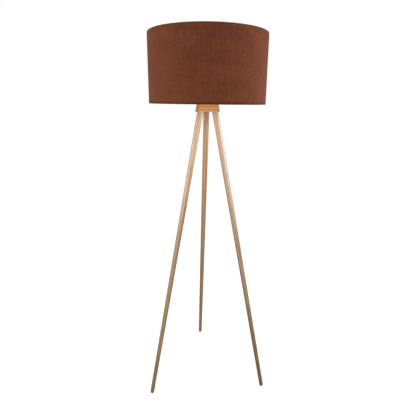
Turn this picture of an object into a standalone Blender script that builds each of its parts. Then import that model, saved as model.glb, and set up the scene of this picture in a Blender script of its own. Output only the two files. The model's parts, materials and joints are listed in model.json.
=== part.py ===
"""Tripod floor lamp: three turned legs, a wooden head block, a screw lampholder with its bulb, and a shade.

Units are metres and +Z is up. The origin is on the floor, under the middle of the lamp's bounding box.
The lamp's vertical axis stands in front of it, towards -Y, because only the back leg reaches out towards +Y.
The other two legs stand to the left and the right of the axis, towards -Y.
"""

import math

import bmesh
import bpy
from mathutils import Matrix, Vector

# ---------------------------------------------------------------- driving dimensions
GAP = 0.0003  # clearance left between pieces that touch

AXIS_Y = -0.0329  # where the lamp's vertical axis stands
LAMP_HEIGHT = 1.480
SHADE_RADIUS = 0.225
SHADE_HEIGHT = 0.250
SHADE_BOTTOM = LAMP_HEIGHT - SHADE_HEIGHT

BLOCK_UNDERSIDE = 1.201
BLOCK_THICKNESS = 0.030
BLOCK_TOP = BLOCK_UNDERSIDE + BLOCK_THICKNESS
BLOCK_SIDE_DISTANCE = 0.0370  # from the axis to a long side, at the underside
BLOCK_CORNER_DISTANCE = 0.0482  # from the axis to a cut corner, at the underside
BLOCK_DRAFT = math.radians(10)  # every side leans in towards the top
BLOCK_ROUNDING = 0.002

LEG_NAMES = ("back", "left", "right")
LEG_ANGLES = [math.radians(a) for a in (90, 210, 330)]
LEG_TOP_CIRCLE = 0.0338  # radius of the leg axes' circle at the block's underside
LEG_FOOT_CIRCLE = 0.2845  # and on the floor
LEG_TOP_RADIUS = 0.0122
LEG_FOOT_RADIUS = 0.0083
LEG_END_ROUNDING = 0.0045
LEG_TOP_CHAMFER = 0.0006

SEAT_DEPTH = 0.007  # of a leg's socket in the block, along the leg's axis
SEAT_RADIUS = LEG_TOP_RADIUS + GAP
WASHER_THICKNESS = 0.0012
WASHER_RADIUS = 0.0100
INSERT_LENGTH = 0.013
INSERT_RADIUS = 0.0059
BOLT_RADIUS = 0.0039
BOLT_IN_INSERT = 0.0115
BOLT_IN_LEG = 0.040
BOLT_POINT = 0.006
BOLT_CHAMFER = 0.001

GLIDE_DOME_RADIUS = 0.0085
GLIDE_FLAT_DEPTH = 0.0005  # how much of the dome the floor's plane takes off
GLIDE_RADIUS = 0.0055
GLIDE_THICKNESS = 0.0022
GLIDE_STEM_RADIUS = 0.0015
GLIDE_STEM_LENGTH = 0.012

NIPPLE_RADIUS = 0.0049
NIPPLE_BORE = 0.0035
NIPPLE_LOW = 0.0030  # its lower end, above the block's underside
NIPPLE_ABOVE_BLOCK = 0.014
NUT_ACROSS_FLATS = 0.014
COUNTERBORE_RADIUS = 0.013
COUNTERBORE_DEPTH = 0.012

WIRE_RADIUS = 0.0017
HEM_INSIDE = WIRE_RADIUS + GAP  # the hem is rolled round the ring wire
FABRIC = 0.0008
HEM_RADIUS = HEM_INSIDE + FABRIC
LINER = 0.0004
SPOKE_RADIUS = 0.0016
FITTER_HOLE = 0.0200
FITTER_RADIUS = 0.0290
FITTER_THICKNESS = 0.0012

SHADE_STEPS = 48
FINE_STEPS = 24
SMALL_STEPS = 12

# heights above the block's top
HOLDER_BASE = 0.0050
HOLDER_JOINT = 0.0260
HOLDER_SHOULDER = 0.0340
HOLDER_TOP = 0.0580
THREAD_RADIUS = 0.0194
SOCKET_RADIUS = 0.0150
BULB_TIP = 0.0386

# ---------------------------------------------------------------- materials: colour, roughness, metallic
PALETTE = {
    "pale_wood": ((0.62, 0.44, 0.29), 0.55, 0.0),
    "honey_wood": ((0.60, 0.33, 0.13), 0.45, 0.0),
    "brown_corduroy": ((0.14, 0.045, 0.022), 0.95, 0.0),
    "white_liner": ((0.85, 0.83, 0.79), 0.60, 0.0),
    "white_wire": ((0.80, 0.80, 0.78), 0.40, 0.0),
    "zinc_steel": ((0.62, 0.62, 0.64), 0.35, 1.0),
    "brass": ((0.72, 0.53, 0.24), 0.30, 1.0),
    "nickel": ((0.70, 0.69, 0.66), 0.25, 1.0),
    "black_plastic": ((0.02, 0.02, 0.022), 0.45, 0.0),
    "ceramic": ((0.82, 0.81, 0.77), 0.30, 0.0),
    "white_plastic": ((0.84, 0.84, 0.82), 0.35, 0.0),
    "opal_diffuser": ((0.90, 0.89, 0.85), 0.30, 0.0),
    "circuit_board": ((0.05, 0.20, 0.09), 0.50, 0.0),
    "brown_glide": ((0.10, 0.055, 0.03), 0.50, 0.0),
}


def clear_scene():
    for thing in list(bpy.data.objects):
        bpy.data.objects.remove(thing, do_unlink=True)


def material(name):
    made = bpy.data.materials.get(name)
    if made is None:
        colour, roughness, metallic = PALETTE[name]
        made = bpy.data.materials.new(name)
        made.use_nodes = True
        shader = made.node_tree.nodes["Principled BSDF"]
        shader.inputs["Base Color"].default_value = (*colour, 1.0)
        shader.inputs["Roughness"].default_value = roughness
        shader.inputs["Metallic"].default_value = metallic
    return made


def empty(name, matrix, parent=None):
    made = bpy.data.objects.new(name, None)
    bpy.context.scene.collection.objects.link(made)
    made.parent = parent
    made.matrix_local = matrix
    return made


def place(name, mesh, material_name, parent, matrix=None):
    """Links a mesh as a named piece under its parent; the matrix is in the parent's frame."""
    if material_name:
        mesh.materials.append(material(material_name))
    made = bpy.data.objects.new(name, mesh)
    bpy.context.scene.collection.objects.link(made)
    made.parent = parent
    if matrix is not None:
        made.matrix_local = matrix
    return made


def finished(bm, name, sharp_angle=math.radians(30)):
    """The bmesh as a mesh with outward faces, smooth but for its sharp edges."""
    bmesh.ops.recalc_face_normals(bm, faces=bm.faces)
    mesh = bpy.data.meshes.new(name)
    bm.to_mesh(mesh)
    bm.free()
    mesh.shade_smooth()
    mesh.set_sharp_from_angle(angle=sharp_angle)
    return mesh


def as_cutter(thing):
    thing.hide_render = True
    thing.display_type = "WIRE"
    return thing


def cut(thing, cutter):
    boolean = thing.modifiers.new("cut_" + cutter.name, "BOOLEAN")
    boolean.operation = "DIFFERENCE"
    boolean.solver = "EXACT"
    boolean.object = cutter


# ---------------------------------------------------------------- shape makers
def turned_mesh(name, profile, steps):
    """A closed outline of (radius, height) points spun round Z."""
    bm = bmesh.new()
    points = [bm.verts.new((radius, 0, height)) for radius, height in profile]
    edges = [bm.edges.new((points[i], points[(i + 1) % len(points)])) for i in range(len(points))]
    axis_edges = [e for e in edges if all(v.co.x < 1e-9 for v in e.verts)]
    bmesh.ops.delete(bm, geom=axis_edges, context="EDGES_FACES")
    bmesh.ops.spin(
        bm,
        geom=bm.verts[:] + bm.edges[:],
        cent=(0, 0, 0),
        axis=(0, 0, 1),
        angle=math.tau,
        steps=steps,
        use_merge=True,
    )
    bmesh.ops.remove_doubles(bm, verts=bm.verts, dist=1e-7)
    return finished(bm, name)


def turned(name, profile, material_name, parent, steps=FINE_STEPS, matrix=None):
    return place(name, turned_mesh(name, profile, steps), material_name, parent, matrix)


def tube_outline(outer, inner, low, high):
    return [(outer, low), (outer, high), (inner, high), (inner, low)]


def arc(centre, radius, start, end, count):
    """Points (radius, height) on an arc, from angle start to end in degrees, both included."""
    found = []
    for i in range(count):
        angle = math.radians(start + (end - start) * i / (count - 1))
        found.append((centre[0] + radius * math.cos(angle), centre[1] + radius * math.sin(angle)))
    return found


def collar(name, outer_at, inner, low, high, steps, material_name, parent):
    """A flat ring with a round hole, whose outer radius is a function of the angle."""
    bm = bmesh.new()
    rings = []
    for step in range(steps):
        angle = math.tau * step / steps
        direction = Vector((math.cos(angle), math.sin(angle), 0))
        outer = outer_at(angle)
        corners = ((outer, low), (outer, high), (inner, high), (inner, low))
        rings.append([bm.verts.new(direction * r + Vector((0, 0, z))) for r, z in corners])
    for step in range(steps):
        here, there = rings[step], rings[(step + 1) % steps]
        for k in range(4):
            bm.faces.new((here[k], there[k], there[(k + 1) % 4], here[(k + 1) % 4]))
    return place(name, finished(bm, name), material_name, parent)


def hexagon(across_flats):
    """The outer radius of a hexagon at an angle."""
    sixth = math.tau / 6

    def radius(angle):
        return across_flats / 2 / math.cos(angle % sixth - sixth / 2)

    return radius


def slab(name, size, centre, material_name, parent, bevel=0.0003):
    bm = bmesh.new()
    bmesh.ops.create_cube(bm, size=1.0)
    bmesh.ops.scale(bm, vec=size, verts=bm.verts)
    bmesh.ops.bevel(bm, geom=bm.edges[:], offset=bevel, segments=1, affect="EDGES")
    return place(name, finished(bm, name), material_name, parent, Matrix.Translation(centre))


def wire(name, points, radius, material_name, parent):
    """A round wire along a run of points."""
    curve = bpy.data.curves.new(name, "CURVE")
    curve.dimensions = "3D"
    curve.bevel_depth = radius
    curve.bevel_resolution = 2
    curve.use_fill_caps = True
    spline = curve.splines.new("POLY")
    spline.points.add(len(points) - 1)
    for point, place_at in zip(spline.points, points):
        point.co = (*place_at, 1.0)
    curve.materials.append(material(material_name))
    made = bpy.data.objects.new(name, curve)
    bpy.context.scene.collection.objects.link(made)
    made.parent = parent
    return made


# ---------------------------------------------------------------- the legs' axes
def leg_frame(angle):
    """The leg's frame: its origin where the axis meets the block's underside, and +Z up along the leg."""
    outward = Vector((math.cos(angle), math.sin(angle), 0))
    top = outward * LEG_TOP_CIRCLE + Vector((0, 0, BLOCK_UNDERSIDE))
    foot = outward * LEG_FOOT_CIRCLE
    up = (top - foot).normalized()
    side = Vector((-math.sin(angle), math.cos(angle), 0))
    rotation = Matrix((side.cross(up), side, up)).transposed()
    return Matrix.Translation(top) @ rotation.to_4x4(), (top - foot).length


# ---------------------------------------------------------------- head block
def corner_outline(height):
    """The head block's six corners at a height above its underside: a triangle with its corners cut off."""
    lean = height * math.tan(BLOCK_DRAFT)
    side, corner = BLOCK_SIDE_DISTANCE - lean, BLOCK_CORNER_DISTANCE - lean
    faces = [(math.radians(30 + 60 * i), side if i % 2 == 0 else corner) for i in range(6)]
    corners = []
    for i in range(6):
        (a, da), (b, db) = faces[i], faces[(i + 1) % 6]
        det = math.sin(b - a)
        x = (da * math.sin(b) - db * math.sin(a)) / det
        y = (db * math.cos(a) - da * math.cos(b)) / det
        corners.append((x, y, BLOCK_UNDERSIDE + height))
    return corners


def head_block(lamp):
    bm = bmesh.new()
    low = [bm.verts.new(c) for c in corner_outline(0)]
    high = [bm.verts.new(c) for c in corner_outline(BLOCK_THICKNESS)]
    bm.faces.new(low)
    bm.faces.new(high)
    for i in range(6):
        j = (i + 1) % 6
        bm.faces.new((low[i], low[j], high[j], high[i]))
    block = place("head_block", finished(bm, "head_block"), "honey_wood", lamp)
    rounding = block.modifiers.new("rounding", "BEVEL")
    rounding.width = BLOCK_ROUNDING
    rounding.segments = 2

    below = -0.01  # the cutters start outside the block
    bore = NIPPLE_RADIUS + 2 * GAP
    nipple_hole = [
        (0, below),
        (COUNTERBORE_RADIUS, below),
        (COUNTERBORE_RADIUS, COUNTERBORE_DEPTH),
        (bore, COUNTERBORE_DEPTH),
        (bore, BLOCK_THICKNESS - below),
        (0, BLOCK_THICKNESS - below),
    ]
    at_underside = Matrix.Translation((0, 0, BLOCK_UNDERSIDE))
    cut(block, as_cutter(turned("nipple_hole_cutter", nipple_hole, None, lamp, matrix=at_underside)))
    bore = INSERT_RADIUS + GAP
    bore_end = SEAT_DEPTH + INSERT_LENGTH + 2 * GAP
    socket = [
        (0, below),
        (SEAT_RADIUS, below),
        (SEAT_RADIUS, SEAT_DEPTH),
        (bore, SEAT_DEPTH),
        (bore, bore_end),
        (0, bore_end),
    ]
    for name, angle in zip(LEG_NAMES, LEG_ANGLES):
        frame, _ = leg_frame(angle)
        cut(block, as_cutter(turned(f"socket_cutter_{name}", socket, None, lamp, matrix=frame)))


# ---------------------------------------------------------------- legs and their fasteners
def dome_centre_on_axis(length):
    """Where the glide's dome has its centre along the leg's axis: the floor takes a small flat off it."""
    rise = BLOCK_UNDERSIDE / length
    return (GLIDE_DOME_RADIUS - GLIDE_FLAT_DEPTH - BLOCK_UNDERSIDE) / rise


def foot_glide(name, profile, frame, pivot):
    """A domed glide with a stem, cut off by the floor's plane."""
    bm = bmesh.new()
    bm.from_mesh(turned_mesh(name, profile, FINE_STEPS))
    to_leg = frame.inverted()
    down = to_leg.to_3x3() @ Vector((0, 0, -1))
    bmesh.ops.bisect_plane(
        bm,
        geom=bm.verts[:] + bm.edges[:] + bm.faces[:],
        plane_co=to_leg.translation,
        plane_no=down,
        clear_outer=True,
    )
    bmesh.ops.holes_fill(bm, edges=[e for e in bm.edges if e.is_boundary])
    place(name, finished(bm, name), "brown_glide", pivot)


def leg_pieces(name, angle, lamp):
    frame, length = leg_frame(angle)
    pivot = empty(f"leg_axis_{name}", frame, lamp)
    top = SEAT_DEPTH - WASHER_THICKNESS - 2 * GAP
    dome_centre = dome_centre_on_axis(length)
    glide_half_angle = math.asin(GLIDE_RADIUS / GLIDE_DOME_RADIUS)
    glide_edge = dome_centre - GLIDE_DOME_RADIUS * math.cos(glide_half_angle)
    glide_top = glide_edge + GLIDE_THICKNESS
    bottom = glide_top + GAP

    bore = BOLT_RADIUS + GAP
    stem_bore = GLIDE_STEM_RADIUS + GAP
    stem_end = bottom + GLIDE_STEM_LENGTH + GAP
    end_centre = (LEG_FOOT_RADIUS - LEG_END_ROUNDING, bottom + LEG_END_ROUNDING)
    profile = [
        (0, stem_end),
        (stem_bore, stem_end),
        (stem_bore, bottom),
        *arc(end_centre, LEG_END_ROUNDING, -90, 0, 5),
        (LEG_TOP_RADIUS, top - LEG_TOP_CHAMFER),
        (LEG_TOP_RADIUS - LEG_TOP_CHAMFER, top),
        (bore, top),
        (bore, top - BOLT_IN_LEG - GAP),
        (0, top - BOLT_IN_LEG - GAP),
    ]
    turned(f"leg_{name}", profile, "pale_wood", pivot)

    washer_low = top + GAP
    washer = tube_outline(WASHER_RADIUS, BOLT_RADIUS + GAP, washer_low, washer_low + WASHER_THICKNESS)
    turned(f"leg_washer_{name}", washer, "zinc_steel", pivot)

    bolt_low = top - BOLT_IN_LEG
    bolt_top = SEAT_DEPTH + BOLT_IN_INSERT
    bolt = [
        (0, bolt_low),
        (BOLT_RADIUS, bolt_low + BOLT_POINT),
        (BOLT_RADIUS, bolt_top - BOLT_CHAMFER),
        (BOLT_RADIUS - BOLT_CHAMFER, bolt_top),
        (0, bolt_top),
    ]
    turned(f"hanger_bolt_{name}", bolt, "zinc_steel", pivot)

    insert_low = SEAT_DEPTH + GAP
    insert = tube_outline(INSERT_RADIUS, BOLT_RADIUS + GAP, insert_low, insert_low + INSERT_LENGTH)
    turned(f"threaded_insert_{name}", insert, "brass", pivot)

    stem_top = bottom + GLIDE_STEM_LENGTH
    glide = [
        *arc((0, dome_centre), GLIDE_DOME_RADIUS, -90, math.degrees(glide_half_angle) - 90, 6),
        (GLIDE_RADIUS, glide_top),
        (GLIDE_STEM_RADIUS, glide_top),
        (GLIDE_STEM_RADIUS, stem_top - 2 * GLIDE_STEM_RADIUS),
        (0, stem_top),
    ]
    foot_glide(f"foot_glide_{name}", glide, frame, pivot)


# ---------------------------------------------------------------- nipple, its nuts and the cable outlet
def nipple_pieces(lamp):
    pivot = empty("nipple_axis", Matrix.Translation((0, 0, BLOCK_UNDERSIDE)), lamp)
    hole = NIPPLE_RADIUS + GAP
    nut = hexagon(NUT_ACROSS_FLATS)
    top = BLOCK_THICKNESS + NIPPLE_ABOVE_BLOCK
    turned("threaded_nipple", tube_outline(NIPPLE_RADIUS, NIPPLE_BORE, NIPPLE_LOW, top), "zinc_steel", pivot)

    washer_top = COUNTERBORE_DEPTH - GAP
    washer_low = washer_top - WASHER_THICKNESS
    turned("nipple_washer_lower", tube_outline(0.0110, hole, washer_low, washer_top), "zinc_steel", pivot)
    nut_top = washer_low - GAP
    collar("nipple_nut_lower", nut, hole, nut_top - 0.0030, nut_top, FINE_STEPS, "zinc_steel", pivot)

    washer_low = BLOCK_THICKNESS + GAP
    washer_top = washer_low + WASHER_THICKNESS
    turned("nipple_washer_upper", tube_outline(0.0100, hole, washer_low, washer_top), "zinc_steel", pivot)
    nut_low = washer_top + GAP
    collar("nipple_nut_upper", nut, hole, nut_low, nut_low + 0.0028, FINE_STEPS, "zinc_steel", pivot)

    # the cable's outlet: a smooth cap screwed over the nipple's lower end
    cap = [
        (0.0048, -0.0006),
        (0.0068, 0.0010),
        (0.0068, NIPPLE_LOW + 0.0030),
        (hole, NIPPLE_LOW + 0.0030),
        (hole, NIPPLE_LOW - GAP),
        (NIPPLE_BORE, NIPPLE_LOW - GAP),
        (NIPPLE_BORE, 0.0010),
    ]
    turned("cable_outlet_bush", cap, "black_plastic", pivot)


# ---------------------------------------------------------------- lampholder
def holder_pieces(lamp):
    at_top = empty("holder_axis", Matrix.Translation((0, 0, BLOCK_TOP)), lamp)
    wall = 0.002
    cap = [
        (0.0145, HOLDER_BASE),
        (0.0185, HOLDER_BASE + 0.004),
        (0.0208, HOLDER_BASE + 0.012),
        (0.0210, HOLDER_JOINT),
        (0.0210 - wall, HOLDER_JOINT),
        (0.0208 - wall, HOLDER_BASE + 0.013),
        (0.0180 - wall, HOLDER_BASE + 0.006),
        (0.0090, HOLDER_BASE + 0.005),
        (0.0090, HOLDER_BASE + 0.010),
        (NIPPLE_RADIUS + GAP, HOLDER_BASE + 0.010),
        (NIPPLE_RADIUS + GAP, HOLDER_BASE),
    ]
    turned("holder_cap", cap, "black_plastic", at_top)

    low = HOLDER_JOINT + GAP
    skirt = [
        (0.0210, low),
        (0.0210, HOLDER_SHOULDER - 0.0025),
        (0.0235, HOLDER_SHOULDER - 0.0020),
        (0.0235, HOLDER_SHOULDER),
        (THREAD_RADIUS, HOLDER_SHOULDER),
        (THREAD_RADIUS, HOLDER_TOP - 0.001),
        (THREAD_RADIUS - 0.001, HOLDER_TOP),
        (SOCKET_RADIUS, HOLDER_TOP),
        (SOCKET_RADIUS, HOLDER_SHOULDER + 0.002),
        (0.0184, HOLDER_SHOULDER + 0.002),
        (0.0184, low),
    ]
    turned("holder_skirt", skirt, "black_plastic", at_top)

    insert_low = HOLDER_JOINT - 0.004
    insert_top = HOLDER_SHOULDER + 0.0015
    insert_floor = insert_top - 0.003
    insert = [
        (0, insert_low),
        (0.0165, insert_low),
        (0.0165, insert_top),
        (0.0125, insert_top),
        (0.0125, insert_floor),
        (0, insert_floor),
    ]
    turned("holder_insert", insert, "ceramic", at_top)
    shell_low, shell_top = HOLDER_SHOULDER + 0.003, HOLDER_TOP - 0.003
    shell = tube_outline(SOCKET_RADIUS - GAP, SOCKET_RADIUS - 0.0008, shell_low, shell_top)
    turned("holder_screw_shell", shell, "brass", at_top)
    tongue_floor = insert_floor + GAP
    tongue = [
        (-0.007, tongue_floor),
        (0.002, tongue_floor),
        (-0.002, BULB_TIP - 0.0012),
        (0.003, BULB_TIP - 0.0012),
    ]
    contact_tongue(tongue, at_top)
    for side, x in (("live", -0.008), ("neutral", 0.008)):
        terminal_middle = insert_low - GAP - 0.0025
        slab(f"terminal_{side}", (0.006, 0.008, 0.005), (x, 0.004, terminal_middle), "brass", at_top)
        lying = Matrix.Translation((x, -GAP, terminal_middle)) @ Matrix.Rotation(math.radians(90), 4, "X")
        screw = [(0, 0), (0.0018, 0), (0.0018, 0.0025), (0.0012, 0.0030), (0, 0.0030)]
        turned(f"terminal_screw_{side}", screw, "zinc_steel", at_top, SMALL_STEPS, lying)


def contact_tongue(path, parent):
    """The centre contact: a brass strip bent up from the insert's floor to the bulb's tip."""
    width, thickness = 0.005, 0.0006
    bm = bmesh.new()
    rows = []
    for x, z in path:
        corners = ((-1, 0), (1, 0), (1, 1), (-1, 1))
        rows.append([bm.verts.new((x, s * width / 2, z + t * thickness)) for s, t in corners])
    for here, there in zip(rows, rows[1:]):
        for k in range(4):
            bm.faces.new((here[k], here[(k + 1) % 4], there[(k + 1) % 4], there[k]))
    bm.faces.new(rows[0])
    bm.faces.new(rows[-1])
    place("centre_contact", finished(bm, "centre_contact"), "brass", parent)


# ---------------------------------------------------------------- shade and the nut that holds it
def shade_pieces(lamp):
    axis = empty("shade_axis", Matrix.Identity(4), lamp)
    wire_circle = SHADE_RADIUS - HEM_RADIUS
    low_wire = SHADE_BOTTOM + HEM_RADIUS
    high_wire = LAMP_HEIGHT - HEM_RADIUS
    low, high = (wire_circle, low_wire), (wire_circle, high_wire)
    outside = arc(low, HEM_RADIUS, -225, 0, 6) + arc(high, HEM_RADIUS, 0, 225, 6)
    inside = arc(high, HEM_INSIDE, 225, 0, 6) + arc(low, HEM_INSIDE, 0, -225, 6)
    turned("shade_cover", outside + inside, "brown_corduroy", axis, SHADE_STEPS)

    liner_outer = SHADE_RADIUS - FABRIC - GAP
    hem = HEM_RADIUS * 2
    liner = tube_outline(liner_outer, liner_outer - LINER, SHADE_BOTTOM + hem, LAMP_HEIGHT - hem)
    turned("shade_liner", liner, "white_liner", axis, SHADE_STEPS)
    for name, height in (("top", high_wire), ("bottom", low_wire)):
        section = arc((wire_circle, height), WIRE_RADIUS, 30, 330, 6)
        turned(f"shade_ring_{name}", section, "white_wire", axis, SHADE_STEPS)

    fitter_low = BLOCK_TOP + HOLDER_SHOULDER + GAP
    fitter_top = fitter_low + FITTER_THICKNESS
    fitter = tube_outline(FITTER_RADIUS, FITTER_HOLE, fitter_low, fitter_top)
    turned("shade_fitter_ring", fitter, "white_wire", axis)
    weld_height = fitter_low - GAP - SPOKE_RADIUS
    hem_end = wire_circle - HEM_RADIUS - GAP
    run = [
        (hem_end, low_wire),
        (hem_end - 0.025, low_wire + 0.001),
        (0.045, weld_height - 0.002),
        (0.036, weld_height),
        (0.0255, weld_height),
    ]
    for i, angle in enumerate(LEG_ANGLES, 1):
        points = [(r * math.cos(angle), r * math.sin(angle), z) for r, z in run]
        wire(f"shade_spoke_{i}", points, SPOKE_RADIUS, "white_wire", axis)

    knurls = 12

    def knurled(angle):
        return 0.0266 + 0.0006 * math.cos(knurls * angle)

    nut_low = fitter_top + GAP
    nut_bore = THREAD_RADIUS + GAP
    collar("shade_ring_nut", knurled, nut_bore, nut_low, nut_low + 0.008, 4 * knurls, "black_plastic", axis)


# ---------------------------------------------------------------- bulb
def bulb_pieces(lamp):
    axis = empty("bulb_axis", Matrix.Translation((0, 0, BLOCK_TOP + BULB_TIP)), lamp)
    contact = [(0, 0), (0.003, 0.0006), (0.0045, 0.0018), (0.0045, 0.0024), (0, 0.0024)]
    turned("bulb_end_contact", contact, "nickel", axis)
    insulator = [(0, 0.0027), (0.0062, 0.0027), (0.0100, 0.0052), (0.0100, 0.0060), (0, 0.0060)]
    turned("bulb_insulator", insulator, "black_plastic", axis)
    shell = [
        (0.0104, 0.0063),
        (0.0130, 0.0085),
        (0.0130, 0.0250),
        (0.0122, 0.0250),
        (0.0122, 0.0090),
        (0.0098, 0.0070),
        (0.0098, 0.0063),
    ]
    turned("bulb_screw_shell", shell, "nickel", axis)
    housing_low, housing_top = 0.0253, 0.0636  # its rim is as wide as the globe's neck
    housing = [
        (0.0138, housing_low),
        (0.0150, 0.0290),
        (0.0215, 0.0450),
        (0.0270, housing_top),
        (0.0255, housing_top),
        (0.0200, 0.0455),
        (0.0134, 0.0300),
        (0.0120, housing_low),
    ]
    turned("bulb_housing", housing, "white_plastic", axis)
    globe_centre, globe_radius, skin = 0.0770, 0.0300, 0.0012
    neck = math.degrees(math.asin((housing_top + GAP - globe_centre) / globe_radius))
    inner_neck = math.degrees(math.asin((housing_top + GAP - globe_centre) / (globe_radius - skin)))
    globe = arc((0, globe_centre), globe_radius, neck, 90, 10)
    globe += arc((0, globe_centre), globe_radius - skin, 90, inner_neck, 10)
    turned("bulb_globe", globe, "opal_diffuser", axis)
    board = [(0, 0.0596), (0.0235, 0.0596), (0.0235, 0.0612), (0, 0.0612)]
    turned("bulb_led_board", board, "white_plastic", axis)
    slab("bulb_driver_board", (0.0180, 0.0014, 0.0420), (0, 0, 0.0360), "circuit_board", axis)


def main():
    clear_scene()
    lamp = empty("lamp_axis", Matrix.Translation((0, AXIS_Y, 0)))
    head_block(lamp)
    for name, angle in zip(LEG_NAMES, LEG_ANGLES):
        leg_pieces(name, angle, lamp)
    nipple_pieces(lamp)
    holder_pieces(lamp)
    shade_pieces(lamp)
    bulb_pieces(lamp)


main()
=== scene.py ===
import json
import math

import bmesh
import bpy
import numpy as np
from mathutils import Matrix, Vector, noise

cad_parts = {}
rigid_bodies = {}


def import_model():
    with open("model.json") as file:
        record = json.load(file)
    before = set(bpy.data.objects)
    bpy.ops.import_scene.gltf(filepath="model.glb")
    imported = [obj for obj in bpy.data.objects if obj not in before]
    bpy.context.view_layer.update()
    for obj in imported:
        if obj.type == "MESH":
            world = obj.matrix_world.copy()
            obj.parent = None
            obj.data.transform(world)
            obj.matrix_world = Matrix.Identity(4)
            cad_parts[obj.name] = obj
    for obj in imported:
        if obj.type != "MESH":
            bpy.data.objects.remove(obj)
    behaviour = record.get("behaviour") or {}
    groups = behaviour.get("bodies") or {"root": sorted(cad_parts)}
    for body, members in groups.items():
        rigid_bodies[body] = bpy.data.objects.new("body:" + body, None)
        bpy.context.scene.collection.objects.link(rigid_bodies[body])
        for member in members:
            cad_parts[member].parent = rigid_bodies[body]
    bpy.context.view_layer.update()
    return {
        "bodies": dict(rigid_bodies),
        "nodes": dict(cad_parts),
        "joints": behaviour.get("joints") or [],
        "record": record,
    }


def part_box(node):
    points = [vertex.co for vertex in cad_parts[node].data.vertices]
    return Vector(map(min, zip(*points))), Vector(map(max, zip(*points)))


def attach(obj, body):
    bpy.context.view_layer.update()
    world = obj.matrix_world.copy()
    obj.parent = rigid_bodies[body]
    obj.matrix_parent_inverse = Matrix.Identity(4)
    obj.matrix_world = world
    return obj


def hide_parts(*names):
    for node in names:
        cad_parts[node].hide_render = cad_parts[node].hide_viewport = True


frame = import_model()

NODES = frame["nodes"]
SLOTS = {part["node"]: part["material_slot"] for part in frame["record"]["subparts"]}
BODIES = frame["record"]["behaviour"]["bodies"]
BODY_OF = {node: body for body, members in BODIES.items() for node in members}
LEG_JOINTS = {j["name"].split("_")[1]: j for j in frame["joints"] if j["name"].startswith("leg_")}
SEED = 7  # a height in the noise field, so that the cloth's unevenness stays the same

# ---------------------------------------------------------------- places, read from the frame
COVER_LOW, COVER_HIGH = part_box("shade_cover")
AXIS = Vector(((COVER_LOW.x + COVER_HIGH.x) / 2, (COVER_LOW.y + COVER_HIGH.y) / 2, 0))
LAMP_AXIS = Matrix.Translation(AXIS)
SHADE_RADIUS = (COVER_HIGH.x - COVER_LOW.x) / 2
SHADE_HEIGHT = COVER_HIGH.z - COVER_LOW.z
BLOCK_FRAME = Matrix.Translation((AXIS.x, AXIS.y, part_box("head_block")[0].z))


def leg_matrix(name):
    """A leg's frame: its origin on the leg's joint, and +Z up along the leg."""
    joint = LEG_JOINTS[name]
    up = Vector(joint["axis"]).normalized()
    side = up.cross(Vector((0, 0, 1))).normalized()
    rotation = Matrix((side, up.cross(side), up)).transposed()
    return Matrix.Translation(joint["pos_m"]) @ rotation.to_4x4()


# ---------------------------------------------------------------- driving dimensions, in metres
CLEAR = 0.0003  # gap between pieces that meet
ON_AXIS = 1e-5  # a point nearer to the axis than this is on it
SAME_PLACE = 1e-6
SAME_RADIUS = 1e-4
ROUND_STEPS = 72
LEG_PART_STEPS = 32
NUT_STEPS = 96
SHADE_STEPS = 192
SHARP = math.radians(35)
SHARP_ON_SOFT = math.radians(60)

WALE_COUNT = 353
WALE_PITCH = math.tau * SHADE_RADIUS / WALE_COUNT
WALE_DEPTH = 0.00040
PILE_UNEVENNESS = 0.00012
COLUMNS_PER_WALE = 6
CLOTH_ROWS = 24
CLOTH = 0.0008
RING_WIRE = 0.0017
HEM = RING_WIRE + CLEAR + CLOTH  # radius of the rolled hem, over the ring wire
HEM_TURN = math.radians(220)
HEM_POINTS = 14
SEAM_ANGLE = math.radians(90)
SEAM_LAP = 0.015
LINER_THICKNESS = 0.0004
SPOKE_RADIUS = 0.0016
SPOKE_BEND = 0.010

BLOCK_SIDE = 0.0370
BLOCK_CORNER = 0.0482
BLOCK_DRAFT = math.radians(10)
BLOCK_ROUNDING = 0.0022
COUNTERBORE_RADIUS = 0.013
NIPPLE_RADIUS = 0.0049
NUT_LEAD = 0.0004

GLIDE_DOME = 0.0085
GLIDE_FLAT = 0.0005
GLIDE_RADIUS = 0.0055
GLIDE_THICKNESS = 0.0022
GLIDE_STEM = 0.0015
LEG_END_ROUNDING = 0.0045
LEG_TOP_CHAMFER = 0.0008
LEG_ROWS = 40

TURNED_ON_AXIS = (
    "threaded_nipple",
    "nipple_washer_lower",
    "nipple_washer_upper",
    "cable_outlet_bush",
    "holder_cap",
    "holder_skirt",
    "holder_insert",
    "holder_screw_shell",
    "shade_fitter_ring",
    "bulb_end_contact",
    "bulb_insulator",
    "bulb_screw_shell",
    "bulb_housing",
    "bulb_globe",
    "bulb_led_board",
)
TURNED_ON_LEGS = ("leg_washer", "hanger_bolt", "threaded_insert")
THREAD_ROWS = 10  # rows of points for each turn
# outer radius, wall where the thread is rolled through it, pitch, depth, and whether its flanks are flat
THREADS = {
    "threaded_nipple": (NIPPLE_RADIUS, 0, 0.0010, 0.0005, True),
    "hanger_bolt": (0.0039, 0, 0.00125, 0.0006, True),
    "threaded_insert": (0.0059, 0, 0.0020, 0.0007, True),
    "holder_skirt": (0.0194, 0, 0.0030, 0.0009, False),
    "holder_screw_shell": (0.0147, 0.0005, 0.0036, 0.0006, False),
    "bulb_screw_shell": (0.0130, 0.0008, 0.0036, 0.0008, False),
}

LIGHT_SPREAD = math.radians(125)
LIGHT_AIM = 1.25
AMBIENT = 0.2  # the white world's light on the lamp, while the camera sees it as full white
FLOOR_SIDE = 60.0
FLOOR_GAP = 0.0005

CAMERA_DISTANCE = 1.468
CAMERA_HEIGHT = 1.2414
CAMERA_TURN = math.radians(5.52)  # round the lamp, so that the back leg stands left of its axis
CAMERA_YAW = math.radians(0.285)
CAMERA_PITCH = math.radians(16.49)
CAMERA_ROLL = math.radians(-0.66)
CAMERA_LENS = 31.28


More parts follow.
